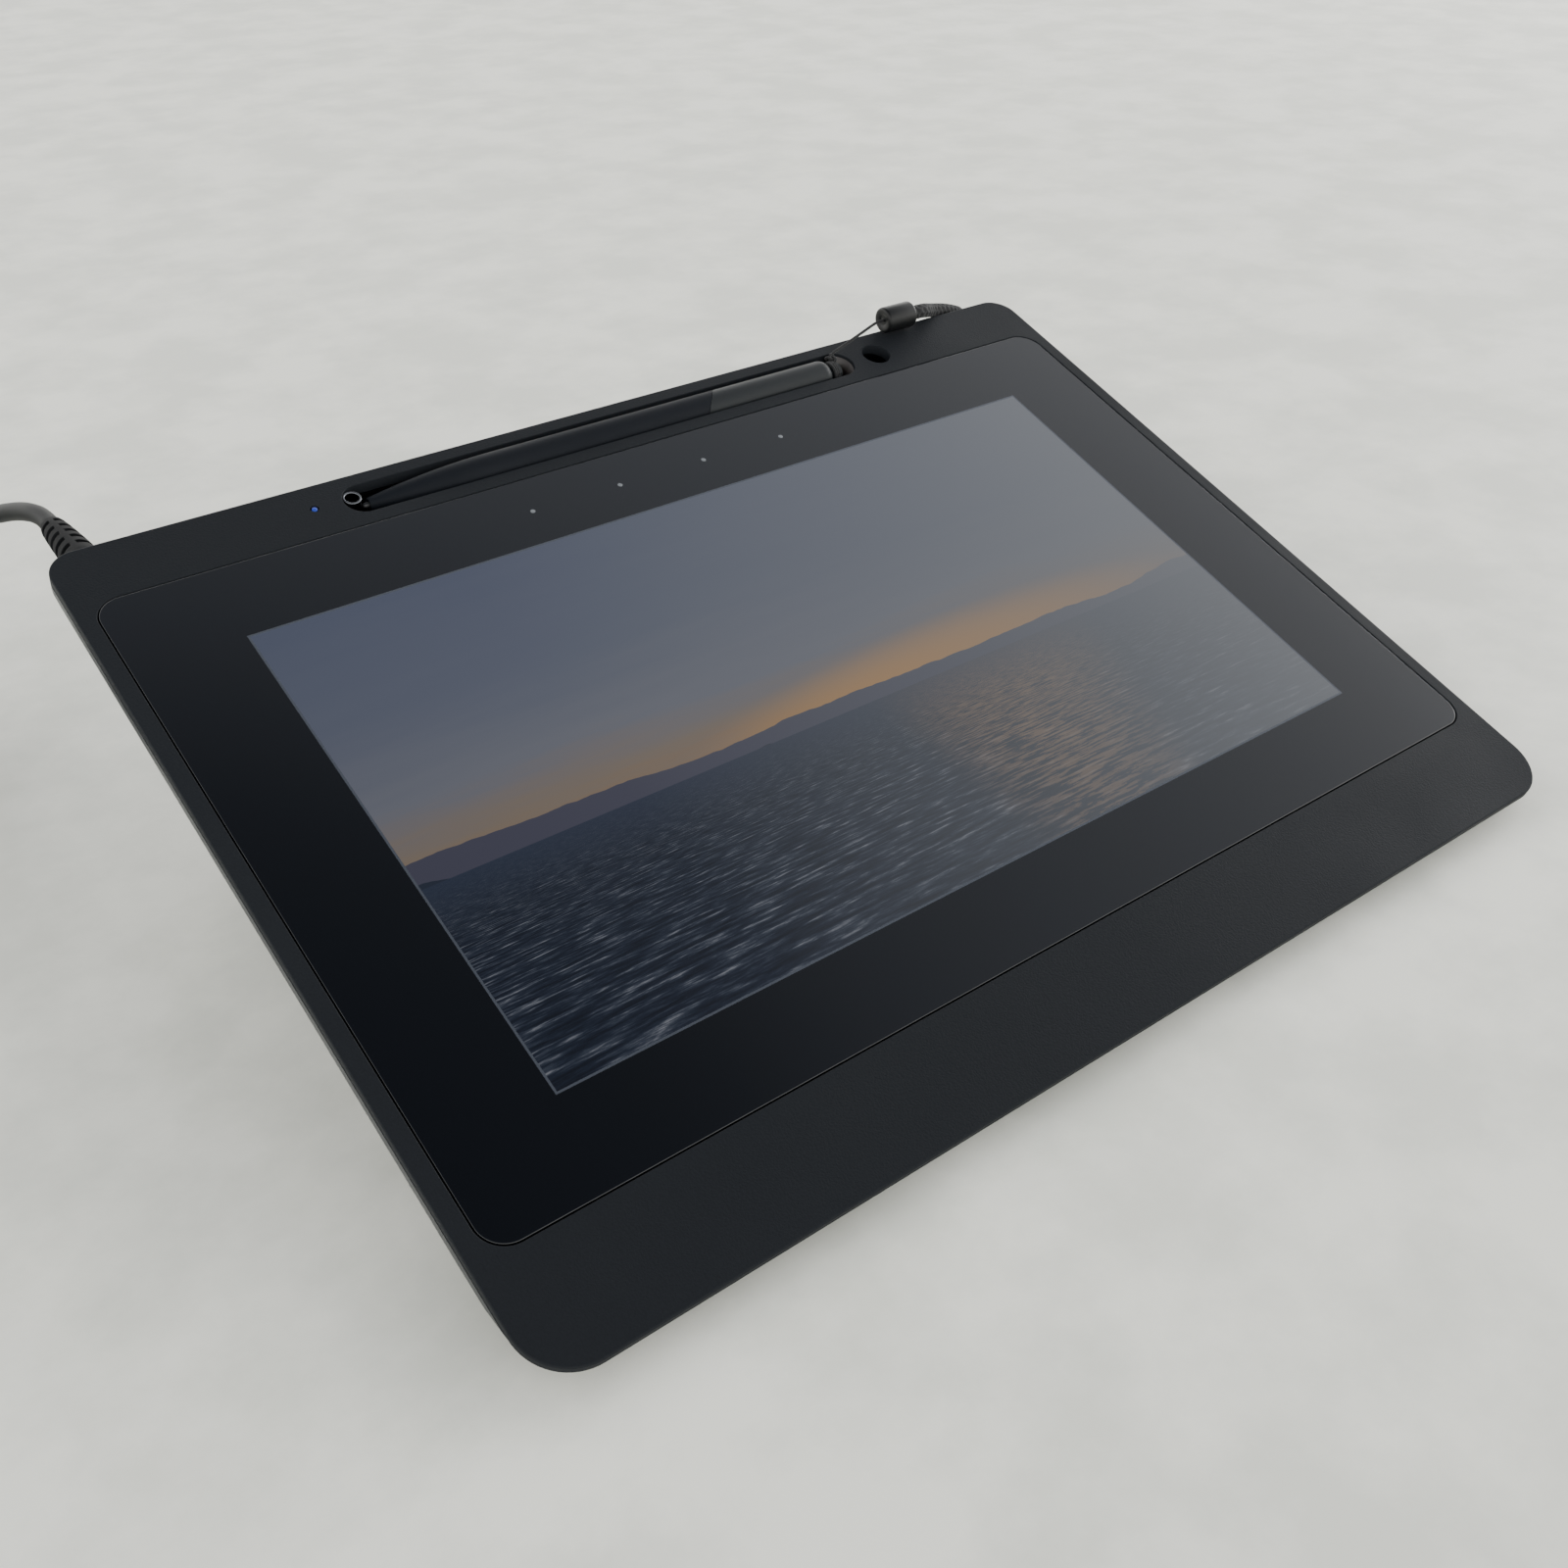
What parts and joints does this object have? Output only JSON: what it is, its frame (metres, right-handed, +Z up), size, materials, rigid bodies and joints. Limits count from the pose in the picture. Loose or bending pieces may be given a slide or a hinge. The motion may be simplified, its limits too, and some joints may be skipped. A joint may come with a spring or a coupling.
{
  "type": "pen display",
  "caption": "Flat pen display tilted on two fold-out legs, with a flush cover glass, a pen in a groove along the back edge, a pen-stand hole, a tether and a coiled cable.",
  "frame": {"origin": "on the table, under the middle of the slab's bounding box measured without the cords", "axes": "+X to the user's right along the slab's width, +Y away from the user, +Z up; the front edge faces -Y"},
  "size_m": [0.3843, 0.2888, 0.0769],
  "materials": {
    "matt_black_plastic": "fine matt grain",
    "black_cover_glass": "polished, printed from behind",
    "tray_plastic": "satin",
    "pen_grip_plastic": "matt soft-touch",
    "pen_cap_plastic": "satin",
    "nib_plastic": "matt",
    "pen_core_ferrite": "matt",
    "panel_glass": "satin",
    "backlight_plastic": "white satin",
    "circuit_board": "solder resist",
    "shield_steel": "plain sheet",
    "chassis_aluminium": "pressed sheet",
    "polished_steel": "polished",
    "pin_steel": "turned",
    "socket_plastic": "matt",
    "flex_film": "satin film",
    "light_pipe": "clear, lit blue",
    "black_rubber": "matt",
    "tether_braid": "fine braid"
  },
  "bodies": {
    "display_body": {"backlight_unit": "backlight_plastic", "board_screw_1": "pin_steel", "board_screw_2": "pin_steel", "board_screw_3": "pin_steel", "board_screw_4": "pin_steel", "cable_boot": "black_rubber", "cable_coil": "black_rubber", "cable_run": "black_rubber", "cable_socket": "socket_plastic", "cable_tie": "black_rubber", "chassis_plate": "chassis_aluminium", "cover_glass": "black_cover_glass", "cover_screw_1": "pin_steel", "cover_screw_2": "pin_steel", "cover_screw_3": "pin_steel", "cover_screw_4": "pin_steel", "cover_screw_5": "pin_steel", "cover_screw_6": "pin_steel", "front_bezel": "matt_black_plastic", "front_left_foot": "black_rubber", "front_right_foot": "black_rubber", "inner_lead": "black_rubber", "lcd_panel": "panel_glass", "led_board": "circuit_board", "led_light_pipe": "light_pipe", "left_hinge_pin": "pin_steel", "main_board": "circuit_board", "nib_ring": "polished_steel", "panel_flex": "flex_film", "pen_stand_tube": "tray_plastic", "pen_tray": "tray_plastic", "plug_grip": "black_rubber", "plug_shell": "polished_steel", "power_switch_board": "circuit_board", "processor_shield": "shield_steel", "rear_cover": "matt_black_plastic", "rear_left_foot": "black_rubber", "rear_right_foot": "black_rubber", "right_hinge_pin": "pin_steel", "sensor_board": "circuit_board", "sensor_shield": "shield_steel", "tether_bead": "tray_plastic", "tether_coil": "tether_braid", "tether_cord": "tether_braid", "tether_ferrule": "pin_steel", "tether_lead": "tether_braid", "tether_string": "tether_braid", "tether_tie": "black_rubber", "touch_key_board": "circuit_board"},
    "left_leg": {"left_leg": "matt_black_plastic", "left_leg_tip": "black_rubber"},
    "right_leg": {"right_leg": "matt_black_plastic", "right_leg_tip": "black_rubber"},
    "pen": {"pen_barrel": "pen_grip_plastic", "pen_core": "pen_core_ferrite", "pen_tail_cap": "pen_cap_plastic"},
    "nib": {"pen_nib": "nib_plastic"},
    "power_button": {"power_button": "tray_plastic"}
  },
  "joints": [
    {"name": "left_leg_fold", "type": "hinge", "parent": "display_body", "child": "left_leg", "pos_m": [-0.075, 0.06063, 0.0436], "axis": [1, 0, 0], "range_deg": [-90, 0]},
    {"name": "right_leg_fold", "type": "hinge", "parent": "display_body", "child": "right_leg", "pos_m": [0.075, 0.06063, 0.0436], "axis": [1, 0, 0], "range_deg": [-90, 0]},
    {"name": "pen_lift", "type": "slide", "parent": "display_body", "child": "pen", "axis": [0, -0.309, 0.9511], "range_m": [0, 0.015], "deforming": ["tether_string"]},
    {"name": "nib_press", "type": "slide", "parent": "pen", "child": "nib", "axis": [1, 0, 0], "range_m": [0, 0.0006], "stiffness_N_per_m": 800},
    {"name": "power_button_press", "type": "slide", "parent": "display_body", "child": "power_button", "axis": [0, -0.9511, -0.309], "range_m": [0, 0.0008], "stiffness_N_per_m": 500}
  ]
}
